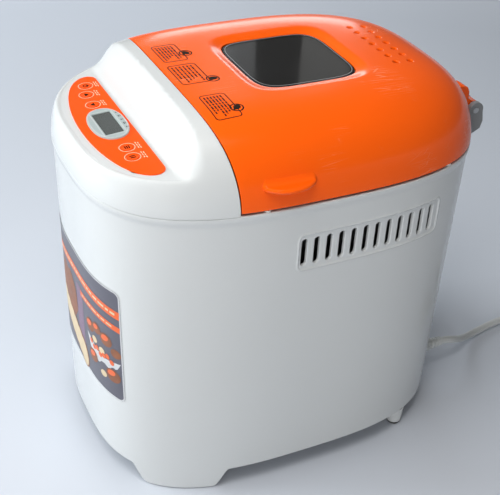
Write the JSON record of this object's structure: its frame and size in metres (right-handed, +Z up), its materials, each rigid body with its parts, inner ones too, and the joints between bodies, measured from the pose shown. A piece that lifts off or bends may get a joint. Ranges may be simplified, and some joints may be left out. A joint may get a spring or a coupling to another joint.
{
  "type": "bread machine",
  "caption": "Compact bread machine with an oval white case, an orange domed lid with a window, a front control panel, a baking pan with a belt-driven paddle and a coiled mains cord.",
  "frame": {"origin": "on the standing surface, under the middle of the machine without its cord", "axes": "+Z up, -Y towards the control panel at the narrow front, +X to the right seen from the front"},
  "size_m": [0.236, 0.4963, 0.3035],
  "materials": {
    "white_case": "glossy, faintly cool white",
    "orange_lid": "glossy orange with light scuffs",
    "orange_overlay": "satin orange print",
    "grey_trim": "satin light grey",
    "display_dark": "dark display",
    "display_glass": "clear display cover",
    "label_print": "printed film",
    "window_glass": "dark clear glass",
    "dark_plastic": "black moulded plastic",
    "grey_base": "grey moulded plastic",
    "pale_plastic": "off-white moulded plastic",
    "hinge_grey": "grey moulded plastic",
    "foot_rubber": "soft black rubber",
    "belt_rubber": "toothed rubber",
    "gasket_silicone": "grey silicone",
    "screw_steel": "zinc plated",
    "plated_steel": "plated sheet and wire",
    "oven_steel": "aluminised sheet",
    "motor_steel": "dull grey metal",
    "element_dark": "dark oxidised sheath",
    "bearing_bronze": "sintered bronze",
    "ceramic": "off-white ceramic",
    "board_green": "green circuit board",
    "nonstick": "dark non-stick coating",
    "cord_plastic": "pale grey PVC",
    "plug_brass": "nickel-plated brass"
  },
  "bodies": {
    "case": {"body_shell": "white_case", "base_plate": "grey_base", "rear_feet": "white_case", "foot_pads": "foot_rubber", "case_screws": "screw_steel", "chassis": "plated_steel", "spindle_bearing": "bearing_bronze", "motor_housing": "motor_steel", "motor_capacitor": "pale_plastic", "power_board": "board_green", "control_board": "board_green", "lcd_module": "display_dark", "key_carrier": "pale_plastic", "drive_belt": "belt_rubber", "chamber_collar": "white_case", "oven_chamber": "oven_steel", "pan_mount": "motor_steel", "heating_element": "element_dark", "element_bushings": "ceramic", "element_clips": "plated_steel", "temperature_sensor": "plated_steel", "thermal_fuse": "ceramic", "top_deck": "white_case", "control_overlay": "orange_overlay", "lcd_bezel": "grey_trim", "lcd_lens": "display_glass", "front_label": "label_print", "hinge_brackets": "hinge_grey", "rest_bumpers": "pale_plastic", "cord_relief": "cord_plastic", "power_cord": "cord_plastic", "cord_coil": "cord_plastic", "plug_body": "cord_plastic", "plug_pins": "plug_brass"},
    "lid": {"lid_shell": "orange_lid", "lid_window": "window_glass", "window_well": "dark_plastic", "lid_liner": "oven_steel", "lid_inner_glass": "window_glass", "lid_gasket": "gasket_silicone", "liner_screws": "screw_steel", "lid_hinge_arms": "orange_lid", "hinge_pins": "plated_steel"},
    "spindle": {"drive_spindle": "motor_steel", "large_pulley": "dark_plastic"},
    "rotor": {"motor_shaft": "plated_steel", "motor_pulley": "dark_plastic", "motor_fan": "pale_plastic"},
    "pan": {"bread_pan": "nonstick", "pan_ring": "oven_steel", "pan_bearing": "bearing_bronze"},
    "bail": {"pan_handle": "plated_steel"},
    "paddle": {"paddle_shaft": "plated_steel", "kneading_paddle": "nonstick"},
    "key1_body": {"key_1": "orange_overlay"},
    "key2_body": {"key_2": "orange_overlay"},
    "key3_body": {"key_3": "orange_overlay"},
    "key4_body": {"key_4": "orange_overlay"},
    "key5_body": {"key_5": "orange_overlay"}
  },
  "joints": [
    {"name": "lid_hinge", "type": "hinge", "parent": "case", "child": "lid", "pos_m": [0, 0.152, 0.256], "axis": [-1, 0, 0], "range_deg": [0, 75]},
    {"name": "spindle_spin", "type": "hinge", "parent": "case", "child": "spindle", "pos_m": [0, 0.025, 0.05], "axis": [0, 0, 1], "continuous": true},
    {"name": "motor_spin", "type": "hinge", "parent": "case", "child": "rotor", "pos_m": [0, -0.108, 0.07], "axis": [0, 0, 1], "continuous": true},
    {"name": "pan_twist", "type": "hinge", "parent": "case", "child": "pan", "pos_m": [0, 0.025, 0.08], "axis": [0, 0, 1], "range_deg": [0, 15]},
    {"name": "bail_swing", "type": "hinge", "parent": "pan", "child": "bail", "pos_m": [0, 0.025, 0.214], "axis": [1, 0, 0], "range_deg": [0, 25]},
    {"name": "paddle_spin", "type": "hinge", "parent": "pan", "child": "paddle", "pos_m": [0, 0.025, 0.09], "axis": [0, 0, 1], "continuous": true},
    {"name": "key_1_press", "type": "slide", "parent": "case", "child": "key1_body", "axis": [0, 0.0785, -0.9969], "range_m": [0, 0.0006], "stiffness_N_per_m": 200, "springref_m": -0.001},
    {"name": "key_2_press", "type": "slide", "parent": "case", "child": "key2_body", "axis": [0, 0.0785, -0.9969], "range_m": [0, 0.0006], "stiffness_N_per_m": 200, "springref_m": -0.001},
    {"name": "key_3_press", "type": "slide", "parent": "case", "child": "key3_body", "axis": [0, 0.0785, -0.9969], "range_m": [0, 0.0006], "stiffness_N_per_m": 200, "springref_m": -0.001},
    {"name": "key_4_press", "type": "slide", "parent": "case", "child": "key4_body", "axis": [0, 0.0785, -0.9969], "range_m": [0, 0.0006], "stiffness_N_per_m": 200, "springref_m": -0.001},
    {"name": "key_5_press", "type": "slide", "parent": "case", "child": "key5_body", "axis": [0, 0.0785, -0.9969], "range_m": [0, 0.0006], "stiffness_N_per_m": 200, "springref_m": -0.001}
  ],
  "couplings": [
    {"joint": "motor_spin", "follows": "spindle_spin", "ratio": 5.7143},
    {"joint": "paddle_spin", "follows": "spindle_spin", "ratio": 1}
  ]
}
